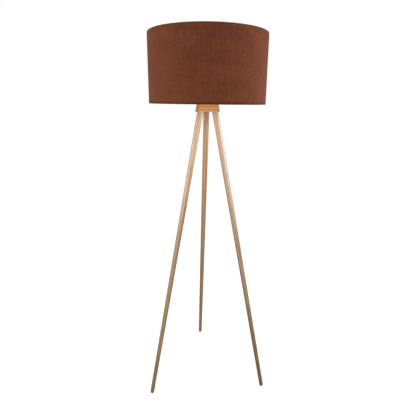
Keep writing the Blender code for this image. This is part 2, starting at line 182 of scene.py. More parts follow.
# ---------------------------------------------------------------- camera
def make_camera():
    camera = bpy.data.objects.new("camera", bpy.data.cameras.new("camera"))
    camera.data.lens = CAMERA_LENS
    camera.data.sensor_width = 36.0
    bpy.context.scene.collection.objects.link(camera)
    bpy.context.scene.camera = camera
    turn = Matrix.Rotation(-CAMERA_TURN, 4, "Z")
    look = (
        Matrix.Rotation(-CAMERA_YAW, 4, "Z")
        @ Matrix.Rotation(math.pi / 2 - CAMERA_PITCH, 4, "X")
        @ Matrix.Rotation(-CAMERA_ROLL, 4, "Z")
    )
    place = Matrix.Translation((0, -CAMERA_DISTANCE, CAMERA_HEIGHT))
    camera.matrix_world = Matrix.Translation(AXIS) @ turn @ place @ look


# ---------------------------------------------------------------- materials
class Look:
    """A procedural material being put together round its Principled shader."""

    def __init__(self, name, frame=None, **fixed):
        self.frame = frame
        self.material = bpy.data.materials.new(name)
        self.material.use_nodes = True
        self.tree = self.material.node_tree
        self.shader = self.tree.nodes["Principled BSDF"]
        for socket, value in fixed.items():
            self.shader.inputs[socket.replace("_", " ")].default_value = value

    def add(self, kind, inputs=None, out=0, **settings):
        node = self.tree.nodes.new("ShaderNode" + kind)
        for key, value in settings.items():
            setattr(node, key, value)
        for key, value in (inputs or {}).items():
            self.put(node.inputs[key], value)
        return node.outputs[out]

    def put(self, socket, value):
        if isinstance(value, bpy.types.NodeSocket):
            self.tree.links.new(value, socket)
        else:
            socket.default_value = value

    def math(self, operation, a, b=0.0, clamp=False):
        return self.add("Math", {0: a, 1: b}, operation=operation, use_clamp=clamp)

    def coordinates(self, kind="Object", scale=(1, 1, 1), offset=(0, 0, 0)):
        """Texture coordinates, in the frame of the piece where the look has one."""
        source = self.add("TexCoord", out=kind)
        if self.frame is not None:
            back = self.frame.inverted()
            place = {"Location": back.translation, "Rotation": back.to_euler()}
            source = self.add("Mapping", {"Vector": source, **place})
        return self.add("Mapping", {"Vector": source, "Scale": scale, "Location": offset})

    def noise(self, vector, scale, detail=4.0, roughness=0.55, distortion=0.0):
        values = {"Vector": vector, "Scale": scale, "Detail": detail, "Roughness": roughness}
        return self.add("TexNoise", {**values, "Distortion": distortion})

    def ramp(self, factor, *stops):
        output = self.add("ValToRGB", {"Fac": factor})
        elements = output.node.color_ramp.elements
        while len(elements) < len(stops):
            elements.new(0.5)
        for element, (position, colour) in zip(elements, stops):
            element.position = position
            element.color = (*colour, 1.0)
        return output

    def mix(self, factor, a, b, blend="MIX"):
        node = self.add("Mix", out=2, data_type="RGBA", blend_type=blend).node
        self.put(node.inputs[0], factor)
        self.put(node.inputs[6], a)
        self.put(node.inputs[7], b)
        return node.outputs[2]

    def spread(self, value, low, high, start=0.0, end=1.0):
        """The value, from start to end, mapped to low to high and held there beyond them."""
        return self.add("MapRange", {0: value, 1: start, 2: end, 3: low, 4: high})

    def colour(self, value):
        self.put(self.shader.inputs["Base Color"], value)

    def rough(self, value, low, high):
        self.put(self.shader.inputs["Roughness"], self.spread(value, low, high))

    def bump(self, height, strength, distance):
        bump = self.add("Bump", {"Height": height, "Strength": strength, "Distance": distance})
        earlier = self.shader.inputs["Normal"].links
        if earlier:
            self.put(bump.node.inputs["Normal"], earlier[0].from_socket)
        self.put(self.shader.inputs["Normal"], bump)


def rgb(*parts):
    """An sRGB colour, 0 to 255, as the linear values that a shader takes."""
    return tuple((c / 255 / 12.92) if c <= 10 else ((c / 255 + 0.055) / 1.055) ** 2.4 for c in parts)


def rgba(*parts):
    return (*rgb(*parts), 1.0)


def corduroy():
    """Brown corduroy. Its UV map is in metres: u runs round the drum, and v up from the lower hem."""
    look = Look("brown_corduroy", Roughness=0.92, Sheen_Weight=0.45, Sheen_Roughness=0.35)
    look.shader.inputs["Sheen Tint"].default_value = rgba(214, 176, 166)
    look.shader.inputs["Specular IOR Level"].default_value = 0.15
    streaks = look.noise(look.coordinates("UV", (1 / WALE_PITCH, 14, 1)), 0.7, 3.0)
    clouds = look.noise(look.coordinates("UV", (9, 26, 1)), 1.0, 5.0, 0.6, 0.8)
    fibres = look.noise(look.coordinates("UV", (2600, 900, 1)), 1.0, 2.0)
    flecks = look.noise(look.coordinates("UV", (85, 120, 1)), 1.0, 4.0, 0.65, 0.5)
    tone = look.math("ADD", look.spread(streaks, -0.12, 0.12), look.spread(clouds, -0.23, 0.23))
    tone = look.math("ADD", tone, look.spread(flecks, -0.22, 0.22))
    tone = look.math("ADD", tone, look.spread(fibres, -0.24, 0.24))
    tone = look.math("ADD", tone, 0.5, True)
    pile = look.ramp(tone, (0.2, rgb(80, 40, 21)), (0.5, rgb(101, 53, 30)), (0.8, rgb(124, 70, 44)))
    around = look.add("SeparateXYZ", {0: look.add("TexCoord", out="UV")})
    phase = look.math("MULTIPLY", around, math.tau / WALE_PITCH)
    # Painted shade: the cloth is painted darker in the grooves between the wales, where shade falls.
    painted_groove_shade = look.spread(look.math("COSINE", phase), 0.0, 0.6, -0.2, 1.0)
    pile = look.mix(painted_groove_shade, pile, rgba(58, 28, 17))
    # Painted shadow: a dark line beside the raised edge of the seam's lap.
    seam_step_shadow = look.spread(around, 0.8, 0.0, 0.0004, 0.0016)
    pile = look.mix(seam_step_shadow, pile, rgba(38, 18, 11))
    # Painted shade: the cloth is painted darker over the last few millimetres at both hems, where the
    # rolled edge turns away from the light.
    height = around.node.outputs[1]
    half = SHADE_HEIGHT / 2
    from_middle = look.math("ABSOLUTE", look.math("SUBTRACT", height, half))
    painted_hem_shade = look.spread(from_middle, 0.0, 0.7, half - 0.006, half - 0.002)
    look.colour(look.mix(painted_hem_shade, pile, rgba(70, 26, 12)))
    look.rough(fibres, 0.85, 1.0)
    look.bump(fibres, 0.5, 0.0003)
    look.bump(streaks, 0.25, 0.0006)
    return look.material


def along_grain(grain_axis, share):
    """A scale that draws a pattern out along the grain, where only that share of its fineness stays."""
    scale = [1.0, 1.0, 1.0]
    scale[grain_axis] = share
    return tuple(scale)


def wood(name, frame, tones, grain_axis, ring_gap, offset, gloss, streak=0.5, end_grain=0.0, painted_light=()):
    """Wood with growth rings round an axis beside the piece, drawn out along the grain.

    Faces across the grain are darker by end_grain, from 0 to 1. The last argument lists painted light and
    shade:
    for each, a colour that multiplies the wood's, the height where it starts and the height where it is
    full.
    """
    pale, deep, pore = tones
    middle = tuple((a + b) / 2 for a, b in zip(pale, deep))
    look = Look(name, frame, Roughness=gloss)
    look.shader.inputs["Specular IOR Level"].default_value = 0.8
    drawn_out = look.coordinates("Object", along_grain(grain_axis, 0.045), offset)
    drawn_finer = look.coordinates("Object", along_grain(grain_axis, 0.02), offset)
    warp = look.spread(look.noise(drawn_out, 22.0, 3.0), -0.009, 0.009)
    warped = look.add("VectorMath", {0: drawn_out, 1: warp}, operation="ADD")
    rings = look.add(
        "TexWave",
        {"Vector": warped, "Scale": 1 / (ring_gap * 20) * math.pi, "Distortion": 0.0, "Detail": 0.0},
        wave_type="RINGS",
        rings_direction="XYZ"[grain_axis],
        wave_profile="SAW",
    )
    late = look.math("POWER", rings, 2.5)  # most of a year's growth is pale, and its end is dark
    narrow = look.math("MULTIPLY", look.noise(drawn_out, 260.0, 4.0, 0.6), 0.5)
    broad = look.math("MULTIPLY", look.noise(drawn_out, 110.0, 2.0), 0.5)
    streaks = look.math("ADD", narrow, broad)
    pores = look.noise(drawn_finer, 1500.0, 2.0)
    streaked = look.math("MULTIPLY", streaks, streak * 1.4)
    tone = look.math("ADD", look.math("MULTIPLY", late, 1 - streak), streaked)
    base = look.ramp(tone, (0.2, pale), (0.5, middle), (0.8, deep))
    dots = look.spread(pores, 0.0, 0.55, 0.58, 0.75)
    facing = look.add("SeparateXYZ", {0: look.add("TexCoord", out="Normal")}, out=grain_axis)
    across = look.spread(look.math("ABSOLUTE", facing), 0.0, end_grain, 0.55, 0.85)
    base = look.mix(across, base, (*pore, 1.0))
    # Painted light and shade, multiplied into the wood's colour between two heights.
    for light_tint, start, full in painted_light:
        height = look.add("SeparateXYZ", {0: look.coordinates()}, out=2)
        base = look.mix(look.spread(height, 0.0, 1.0, start, full), base, (*light_tint, 1.0), "MULTIPLY")
    look.colour(look.mix(dots, base, (*pore, 1.0)))
    look.rough(streaks, gloss - 0.08, gloss + 0.12)
    look.bump(pores, 0.25, 0.0002)
    look.bump(streaks, 0.15, 0.0003)
    return look.material


def coated(name, colour, roughness, metallic=0.0, grain=900.0, depth=0.00004, spread=0.08, **fixed):
    """Metal, plastic or ceramic: one colour that varies a little, with a fine surface and uneven gloss."""
    look = Look(name, Metallic=metallic, **fixed)
    where = look.coordinates()
    cloudy = look.noise(where, 70.0, 4.0)
    fine = look.noise(where, grain, 3.0)
    darker = tuple(c * (1 - spread) for c in colour)
    look.colour(look.ramp(cloudy, (0.3, darker), (0.7, colour)))
    look.rough(fine, max(roughness - 0.08, 0.02), roughness + 0.08)
    look.bump(fine, 0.4, depth)
    return look.material


def circuit_board():
    look = Look("circuit_board", Roughness=0.45)
    where = look.coordinates()
    tracks = look.add("TexVoronoi", {"Vector": where, "Scale": 420.0}, feature="DISTANCE_TO_EDGE")
    look.colour(look.ramp(tracks, (0.02, rgb(70, 130, 84)), (0.06, rgb(28, 84, 48))))
    look.bump(tracks, 0.3, 0.0001)
    return look.material


def liner_sheet():
    """White styrene with the cloth's wales just showing through from behind."""
    look = Look("white_liner", Roughness=0.45)
    where = look.coordinates("UV")
    around = look.add("SeparateXYZ", {0: where})
    ribs = look.math("COSINE", look.math("MULTIPLY", around, math.tau / WALE_PITCH))
    cloudy = look.noise(where, 30.0, 3.0)
    base = look.ramp(cloudy, (0.3, rgb(232, 226, 214)), (0.7, rgb(242, 238, 229)))
    look.colour(look.mix(look.spread(ribs, 0.0, 0.05), base, rgba(190, 160, 140)))
    look.rough(cloudy, 0.4, 0.5)
    look.bump(ribs, 0.15, 0.0001)
    return look.material


PALE = (rgb(201, 171, 140), rgb(154, 115, 80), rgb(108, 75, 48))
PALE_LEFT = (rgb(204, 174, 142), rgb(160, 120, 85), rgb(110, 76, 49))
PALE_BACK = (rgb(203, 163, 126), rgb(163, 119, 84), rgb(110, 76, 49))
HONEY = (rgb(224, 158, 84), rgb(182, 111, 50), rgb(124, 70, 31))

LOOKS = {
    "brown_corduroy": corduroy(),
    "white_liner": liner_sheet(),
    "honey_wood": wood("honey_wood", BLOCK_FRAME, HONEY, 0, 0.0042, (0, 0.004, 0.040), 0.42, 0.4, 0.3),
    "pale_wood": wood("pale_wood", None, PALE, 2, 0.0040, (0.05, 0.02, 0), 0.4, 0.55),
    "white_wire": coated("white_wire", rgb(232, 231, 226), 0.35, grain=500.0, depth=0.00003),
    "zinc_steel": coated("zinc_steel", rgb(200, 202, 206), 0.32, 1.0, grain=350.0, spread=0.2),
    "brass": coated("brass", rgb(222, 184, 112), 0.28, 1.0, spread=0.2),
    "nickel": coated("nickel", rgb(214, 211, 204), 0.22, 1.0, spread=0.12),
    "black_plastic": coated("black_plastic", rgb(34, 33, 34), 0.38, grain=700.0, spread=0.25),
    "ceramic": coated("ceramic", rgb(236, 232, 222), 0.25, Coat_Weight=0.4),
    "white_plastic": coated("white_plastic", rgb(238, 237, 233), 0.33),
    "opal_diffuser": coated("opal_diffuser", rgb(240, 238, 230), 0.3, 0.0, 250.0, 0.00001, 0.03),
    "circuit_board": circuit_board(),
    "brown_glide": coated("brown_glide", rgb(96, 66, 44), 0.55, grain=600.0, spread=0.3),
}

# Painted light and shade on the legs: the front legs have a painted golden glow of light thrown off the
# block just under it, the back leg a painted shadow there, and each leg is painted lighter or darker
# towards its foot.
# Heights are along the leg, from the block's underside.
TOP_LIGHT_SPAN = (-0.07, -0.01)
FOOT_LIGHT_SPAN = (-0.6, -1.1)
GOLDEN_BOUNCE_LIGHT = ((1.06, 1.03, 0.84), *TOP_LIGHT_SPAN)
PAINTED_LEG_LIGHT = {
    "left": (GOLDEN_BOUNCE_LIGHT, ((1.05, 1.04, 0.93), *FOOT_LIGHT_SPAN)),
    "right": (GOLDEN_BOUNCE_LIGHT, ((0.95, 0.85, 0.66), *FOOT_LIGHT_SPAN)),
    "back": (((0.68, 0.60, 0.52), *TOP_LIGHT_SPAN), ((1.35, 1.22, 1.06), *FOOT_LIGHT_SPAN)),
}
LEG_LOOKS = {
    name: wood(f"pale_wood_{name}", leg_matrix(name), tones, 2, gap, offset, 0.34, 0.6, 0.0, PAINTED_LEG_LIGHT[name])
    for name, tones, gap, offset in (
        ("left", PALE_LEFT, 0.0036, (0.05, 0.02, 0)),
        ("right", PALE, 0.0040, (0.03, 0.05, 0.3)),
        ("back", PALE_BACK, 0.0034, (-0.04, 0.03, 0.7)),
    )
}


def finish_cad_nodes():
    for name, slot in SLOTS.items():
        node = NODES[name]
        node.data.materials.clear()
        node.data.materials.append(LOOKS[slot])


# ---------------------------------------------------------------- shape makers
def mesh_piece(name, vertices, faces, slot, matrix=None, uvs=None, sharp=SHARP, look=None):
    mesh = bpy.data.meshes.new(name)
    mesh.from_pydata(vertices, [], faces)
    if uvs is not None:
        layer = mesh.uv_layers.new(name="UVMap")
        layer.data.foreach_set("uv", np.asarray(uvs, np.float32).ravel())
    return shown(name, mesh, slot, matrix, sharp, look)


def shown(name, mesh, slot, matrix=None, sharp=SHARP, look=None):
    """A mesh as an object of the scene, moved to its place, with the material of its slot."""
    if matrix is not None:
        mesh.transform(matrix)
    mesh.shade_smooth()
    mesh.set_sharp_from_angle(angle=sharp)
    mesh.materials.clear()
    mesh.materials.append(look or LOOKS[slot])
    piece = bpy.data.objects.new(name, mesh)
    bpy.context.scene.collection.objects.link(piece)
    return piece


def stands_for(piece, node):
    """The piece takes the CAD node's place and moves with its body."""
    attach(piece, BODY_OF[node])
    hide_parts(node)
    return piece


def arc(centre, radius, start, end, count):
    """Points (radius, height) on an arc from one angle to another, both included."""
    angles = np.linspace(start, end, count)
    return [(centre[0] + radius * math.cos(a), centre[1] + radius * math.sin(a)) for a in angles]


def lathe(name, outline, slot, steps=ROUND_STEPS, matrix=None, relief=None, **rest):
    """A closed outline of (radius, height) points, anticlockwise, spun round Z, with poles on the axis.

    relief(angles, radius, height) gives the radii all round a row, for a thread, ribs or flats.
    """
    angles = math.tau * np.arange(steps) / steps
    vertices, rows = [], []
    for radius, height in outline:
        if radius < ON_AXIS:
            rows.append([len(vertices)] * steps)
            vertices.append((0.0, 0.0, height))
            continue
        rows.append([len(vertices) + i for i in range(steps)])
        radii = relief(angles, radius, height) if relief else np.full(steps, radius)
        vertices += zip(radii * np.cos(angles), radii * np.sin(angles), np.full(steps, height))
    faces = []
    for here, there in zip(rows, rows[1:] + rows[:1]):
        if here[0] == here[1] and there[0] == there[1]:
            continue
        for i in range(steps):
            j = (i + 1) % steps
            faces.append(tuple(dict.fromkeys((here[i], here[j], there[j], there[i]))))
    return mesh_piece(name, vertices, faces, slot, matrix, **rest)


def outline_of(node, matrix):
    """The closed (radius, height) outline of a turned CAD node, anticlockwise, from half a cut along XZ."""
    bm = bmesh.new()
    bm.from_mesh(NODES[node].data)
    bmesh.ops.remove_doubles(bm, verts=bm.verts, dist=2 * SAME_PLACE)
    bm.transform(matrix.inverted())
    everything = bm.verts[:] + bm.edges[:] + bm.faces[:]
    plane = {"plane_co": (0, 0, 0), "plane_no": (0, 1, 0), "dist": 2 * ON_AXIS}
    cut = bmesh.ops.bisect_plane(bm, geom=everything, **plane)["geom_cut"]
    links = {}
    for edge in cut:
        if not isinstance(edge, bmesh.types.BMEdge):
            continue
        a, b = edge.verts
        if min(a.co.x, b.co.x) < -ON_AXIS or max(a.co.x, b.co.x) < ON_AXIS:
            continue
        links.setdefault(a, []).append(b)
        links.setdefault(b, []).append(a)
    start = min(links, key=lambda v: (len(links[v]), v.co.z))
    path, here, last = [start], links[start][0], start
    while here is not start:
        path.append(here)
        onward = [v for v in links[here] if v is not last]
        if not onward:
            break
        last, here = here, onward[0]
    points = [(max(v.co.x, 0.0), v.co.z) for v in path]
    bm.free()
    return anticlockwise(without_straight(points))


def without_straight(points):
    """The closed outline without the points that stand in the middle of a straight run."""
    least_bend = math.radians(0.5)
    kept = []
    for i, point in enumerate(points):
        back = Vector(points[i - 1]) - Vector(point)
        ahead = Vector(points[(i + 1) % len(points)]) - Vector(point)
        if back.length > ON_AXIS and ahead.length > ON_AXIS and back.angle(-ahead) > least_bend:
            kept.append(point)
    return kept


def anticlockwise(points):
    twice_area = sum(a[0] * b[1] - b[0] * a[1] for a, b in zip(points, points[1:] + points[:1]))
    return points if twice_area > 0 else points[::-1]


def softened(points, rounding, bend=SHARP, closed=True, steps=4):
    """Corners sharper than bend are rounded off at that distance, and gentler ones make a smooth curve."""
    made = []
    for i, place in enumerate(points):
        corner = Vector(place)
        before, after = Vector(points[i - 1]), Vector(points[(i + 1) % len(points)])
        at_end = not closed and i in (0, len(points) - 1)
        if at_end or (closed and corner.x < ON_AXIS):
            made.append(tuple(corner))
            continue
        back, ahead = before - corner, after - corner
        reach = rounding if back.angle(-ahead) > bend else math.inf
        back *= min(reach / back.length, 0.5)
        ahead *= min(reach / ahead.length, 0.5)
        for t in np.linspace(0, 1, steps + 1):
            point = corner + back * (1 - t) ** 2 + ahead * t**2
            if not made or (Vector(made[-1]) - point).length > SAME_PLACE:
                made.append(tuple(point))
    if closed and (Vector(made[0]) - Vector(made[-1])).length < SAME_PLACE:
        made.pop()
    return made


def tube(name, path, radius, slot, side, sides=16):
    """A round wire along a path in one plane, whose normal is side, with domed ends."""
    path = [Vector(p) for p in path]
    vertices, faces = [], []
    dome = (0.35, 0.8, 1.3)  # angles of the domed end's rows
    ends = [(radius * (1 - math.cos(a)), radius * math.sin(a)) for a in dome]
    rows = [(path[0] + (path[1] - path[0]).normalized() * set_in, r) for set_in, r in ends]
    rows += [(p, radius) for p in path[1:-1]]
    rows += [(path[-1] + (path[-2] - path[-1]).normalized() * set_in, r) for set_in, r in reversed(ends)]
    for i, (place, r) in enumerate(rows):
        ahead = rows[min(i + 1, len(rows) - 1)][0] - rows[max(i - 1, 0)][0]
        up = side.cross(ahead).normalized()
        for k in range(sides):
            a = math.tau * k / sides
            vertices.append(place + side * (r * math.cos(a)) + up * (r * math.sin(a)))
    for i in range(len(rows) - 1):
        for k in range(sides):
            m = (k + 1) % sides
            faces.append((i * sides + k, (i + 1) * sides + k, (i + 1) * sides + m, i * sides + m))
    faces.append(tuple(range(sides)))
    faces.append(tuple(range(len(vertices) - 1, len(vertices) - sides - 1, -1)))
    return mesh_piece(name, vertices, faces, slot, sharp=SHARP_ON_SOFT)


# ---------------------------------------------------------------- turned pieces that are made again, finer
def thread_rows(outline, radius, wall, pitch):
    """The outline with rows close enough for the thread's turns, and the threaded part's two heights."""
    heights = [z for r, z in outline if abs(r - radius) < SAME_RADIUS]
    low, high = min(heights), max(heights)
    made = []
    for here, there in zip(outline, outline[1:] + outline[:1]):
        made.append(here)
        if abs(here[0] - there[0]) < SAME_RADIUS and is_threaded(here[0], radius, wall):
            count = round(abs(there[1] - here[1]) * THREAD_ROWS / pitch)
            made += [tuple(Vector(here).lerp(Vector(there), k / count)) for k in range(1, count)]
    return made, low, high


def is_threaded(r, radius, wall):
    return radius - wall - SAME_RADIUS < r < radius + SAME_RADIUS


def thread_relief(radius, wall, pitch, depth, low, high, flat_flanks):
    """Radii of a right-hand thread cut into a shank, or rolled through a wall of that thickness."""

    def relief(angles, r, height):
        if not (low < height < high and is_threaded(r, radius, wall)):
            return np.full(len(angles), r)
        turn = height / pitch - angles / math.tau
        wave = 2 * np.abs(turn % 1 - 0.5) if flat_flanks else 0.5 + 0.5 * np.cos(math.tau * turn)
        run_out = min((height - low) / pitch, (high - height) / pitch, 1.0)
        return r - depth * run_out * wave

    return relief


def turn_again(node, matrix, rounding=0.0003, steps=ROUND_STEPS):
    """A turned CAD node made again in its place, rounder, with soft edges and with its thread."""
    outline = softened(outline_of(node, matrix), rounding)
    relief = None
    thread = THREADS.get(node.removesuffix("_back").removesuffix("_left").removesuffix("_right"))
    if thread:
        radius, wall, pitch, depth, flat_flanks = thread
        outline, low, high = thread_rows(outline, radius, wall, pitch)
        relief = thread_relief(radius, wall, pitch, depth, low, high, flat_flanks)
    piece = lathe("fine_" + node, outline, SLOTS[node], steps, matrix, relief)
    return stands_for(piece, node)


def make_turned_pieces():
    for node in TURNED_ON_AXIS:
        turn_again(node, LAMP_AXIS)
    for name in LEG_JOINTS:
        for node in TURNED_ON_LEGS:
            turn_again(f"{node}_{name}", leg_matrix(name), steps=LEG_PART_STEPS)


def make_nuts():
    """The nipple's two hexagon nuts, chamfered at both faces."""
    sixth = math.tau / 6
    hole = NIPPLE_RADIUS + CLEAR
    for node in ("nipple_nut_lower", "nipple_nut_upper"):
        low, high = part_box(node)
        corner = (high.x - low.x) / 2
        flat = corner * math.cos(sixth / 2)
        chamfer = (corner - flat) * math.tan(math.radians(30))
        outline = [
            (hole + NUT_LEAD, low.z),
            (flat, low.z),
            (corner, low.z + chamfer),
            (corner, high.z - chamfer),
            (flat, high.z),
            (hole + NUT_LEAD, high.z),
            (hole, high.z - NUT_LEAD),
            (hole, low.z + NUT_LEAD),
        ]

        def six_flats(angles, radius, height, flat=flat):
            return np.minimum(radius, flat / np.cos(angles % sixth - sixth / 2))

        piece = lathe("fine_" + node, outline, SLOTS[node], NUT_STEPS, LAMP_AXIS, six_flats)
        stands_for(piece, node)


# ---------------------------------------------------------------- head block
def block_corners(height):
    """The block's six corners at a height above its underside: a triangle with its corners cut off."""
    lean = height * math.tan(BLOCK_DRAFT)
    faces = [(math.radians(30 + 60 * i), (BLOCK_SIDE, BLOCK_CORNER)[i % 2] - lean) for i in range(6)]
    corners = []
    for (a, da), (b, db) in zip(faces, faces[1:] + faces[:1]):
        x = (da * math.sin(b) - db * math.sin(a)) / math.sin(b - a)
        y = (db * math.cos(a) - da * math.cos(b)) / math.sin(b - a)
        corners.append((x, y, height))
    return corners


def make_block():
    low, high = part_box("head_block")
    thickness = high.z - low.z
    bm = bmesh.new()
    lower, upper = ([bm.verts.new(c) for c in block_corners(h)] for h in (0, thickness))
    bm.faces.new(lower[::-1])
    bm.faces.new(upper)
    for i in range(6):
        j = (i + 1) % 6
        bm.faces.new((lower[i], lower[j], upper[j], upper[i]))
    bmesh.ops.bevel(bm, geom=bm.edges[:], offset=BLOCK_ROUNDING, segments=5, profile=0.5, affect="EDGES")
    mesh = bpy.data.meshes.new("wooden_head_block")
    bm.to_mesh(mesh)
    bm.free()
    block = shown("wooden_head_block", mesh, "honey_wood", BLOCK_FRAME)

    beyond = 0.01  # how far a cutter stands out of the block
    _, washer_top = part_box("nipple_washer_lower")
    seat = washer_top.z + CLEAR - low.z
    bore = NIPPLE_RADIUS + 2 * CLEAR
    hole = [
        (0, -beyond),
        (COUNTERBORE_RADIUS, -beyond),
        (COUNTERBORE_RADIUS, seat),
        (bore, seat),
        (bore, thickness + beyond),
        (0, thickness + beyond),
    ]
    cutters = [lathe("cutter_nipple", hole, "honey_wood", matrix=BLOCK_FRAME)]
    for name in LEG_JOINTS:
        matrix = leg_matrix(name)
        insert_low, insert_top, insert_radius, _ = turned_ends(f"threaded_insert_{name}", matrix)
        _, _, _, leg_radius = turned_ends(f"leg_{name}", matrix)
        start = insert_low - 2 * beyond
        socket = [
            (0, start),
            (leg_radius + CLEAR, start),
            (leg_radius + CLEAR, insert_low - CLEAR),
            (insert_radius + CLEAR, insert_low - CLEAR),
            (insert_radius + CLEAR, insert_top + CLEAR),
            (0, insert_top + CLEAR),
        ]
        cutters.append(lathe(f"cutter_{name}", socket, "honey_wood", matrix=matrix))
    for cutter in cutters:
        boolean = block.modifiers.new(cutter.name, "BOOLEAN")
        boolean.operation = "DIFFERENCE"
        boolean.solver = "EXACT"
        boolean.object = cutter
    bpy.context.view_layer.update()
    carved = bpy.data.meshes.new_from_object(block.evaluated_get(bpy.context.evaluated_depsgraph_get()))
    block.modifiers.clear()
    for cutter in cutters:
        bpy.data.objects.remove(cutter)
    block.data = carved
    carved.shade_smooth()
    carved.set_sharp_from_angle(angle=SHARP)
    stands_for(block, "head_block")


# ---------------------------------------------------------------- legs and their glides
def turned_ends(node, matrix):
    """A round node's lowest and highest point along the leg, and its radius near both ends."""
    local = [matrix.inverted() @ v.co for v in NODES[node].data.vertices]
    low, high = min(p.z for p in local), max(p.z for p in local)
    near = 0.008  # how far from an end counts as near it

    def widest(end):
        return max(p.xy.length for p in local if abs(p.z - end) < near)

    return low, high, widest(low), widest(high)


def make_legs():
    for name in LEG_JOINTS:
        matrix = leg_matrix(name)
        low, high, foot, top = turned_ends(f"leg_{name}", matrix)
        _, stem_top, _, _ = turned_ends(f"foot_glide_{name}", matrix)
        bolt_low, _, _, bolt = turned_ends(f"hanger_bolt_{name}", matrix)
        start, end = low + LEG_END_ROUNDING, high - LEG_TOP_CHAMFER
        shares = np.linspace(0, 1, LEG_ROWS + 1)[1:]
        taper = [(foot + (top - foot) * t, start + (end - start) * t) for t in shares]
        outline = [
            (0, stem_top + CLEAR),
            (GLIDE_STEM + CLEAR, stem_top + CLEAR),
            (GLIDE_STEM + CLEAR, low),
            *arc((foot - LEG_END_ROUNDING, start), LEG_END_ROUNDING, -math.pi / 2, 0, 10),
            *taper,
            (top - LEG_TOP_CHAMFER, high),
            (bolt + CLEAR, high),
            (bolt + CLEAR, bolt_low - CLEAR),
            (0, bolt_low - CLEAR),
        ]
        leg = lathe(f"turned_leg_{name}", outline, "pale_wood", matrix=matrix, look=LEG_LOOKS[name])
        stands_for(leg, f"leg_{name}")
        make_glide(name, matrix, stem_top)


def make_glide(name, matrix, stem_top):
    """A domed glide with its stem, worn flat where it stands on the floor."""
    rise = (matrix.to_3x3() @ Vector((0, 0, 1))).z
    centre = (GLIDE_DOME - GLIDE_FLAT - matrix.translation.z) / rise
    half_angle = math.asin(GLIDE_RADIUS / GLIDE_DOME)
    top = centre - GLIDE_DOME * math.cos(half_angle) + GLIDE_THICKNESS
    outline = [
        *arc((0, centre), GLIDE_DOME, -math.pi / 2, half_angle - math.pi / 2, 12),
        (GLIDE_RADIUS, top - CLEAR),
        (GLIDE_RADIUS - CLEAR, top),
        (GLIDE_STEM, top),
        (GLIDE_STEM, stem_top - 2 * GLIDE_STEM),
        (0, stem_top),
    ]
    glide = lathe(f"domed_glide_{name}", outline, "brown_glide", 48, matrix)
    bm = bmesh.new()
    bm.from_mesh(glide.data)
    everything = bm.verts[:] + bm.edges[:] + bm.faces[:]
    bmesh.ops.bisect_plane(bm, geom=everything, plane_co=(0, 0, 0), plane_no=(0, 0, -1), clear_outer=True)
    bmesh.ops.holes_fill(bm, edges=[e for e in bm.edges if e.is_boundary])
    bm.to_mesh(glide.data)
    bm.free()
    stands_for(glide, f"foot_glide_{name}")


# ---------------------------------------------------------------- shade
def drum(name, rows, columns, slot, shift=None):
    """A closed skin of rows (radius, height, v, share) round the lamp's axis, with a UV map in metres.

    shift(angles, height) moves the points outwards, and a row's share says how much of it that row takes.
    """
    around = math.tau * np.arange(columns) / columns
    angles = SEAM_ANGLE + around
    step = SHADE_RADIUS * math.tau / columns
    vertices, faces, uvs = [], [], []
    for radius, height, _, share in rows:
        radii = np.full(columns, radius) + (shift(around, height) * share if share else 0)
        x, y = AXIS.x + radii * np.cos(angles), AXIS.y + radii * np.sin(angles)
        vertices += zip(x, y, np.full(columns, height))
    for r, here in enumerate(rows):
        s = (r + 1) % len(rows)
        v_here, v_there = here[2], rows[s][2]
        for i in range(columns):
            j = (i + 1) % columns
            faces.append((r * columns + i, r * columns + j, s * columns + j, s * columns + i))
            u, next_u = i * step, i * step + step
            uvs += [(u, v_here), (next_u, v_here), (next_u, v_there), (u, v_there)]
    return mesh_piece(name, vertices, faces, slot, uvs=uvs, sharp=SHARP_ON_SOFT)


def wales(around, height):
    """How far the pile stands in from the drum's outer face, and the lap of the seam."""
    wander = 0.0375 * math.sin(height * 31.0) + 0.025 * math.sin(height * 83.0 + 1.3)
    phase = np.abs(np.sin((around * WALE_COUNT + wander) / 2))
    ridge = WALE_DEPTH * (1 - phase**1.6)
    unevenness = [noise.noise(Vector((a * 40, height * 30, SEED))) for a in around]
    uneven = np.array(unevenness) * PILE_UNEVENNESS
    to_seam = (math.tau - around) * SHADE_RADIUS
    lap = CLOTH * np.sqrt(np.clip(1 - to_seam / SEAM_LAP, 0.0, 1.0))
    return uneven + lap - ridge


def run_lengths(points, start):
    """How far each point is along the run, counted from the point with that index."""
    steps = [math.dist(a, b) for a, b in zip(points, points[1:])]
    lengths = np.concatenate([[0.0], np.cumsum(steps)])
    return lengths - lengths[start]


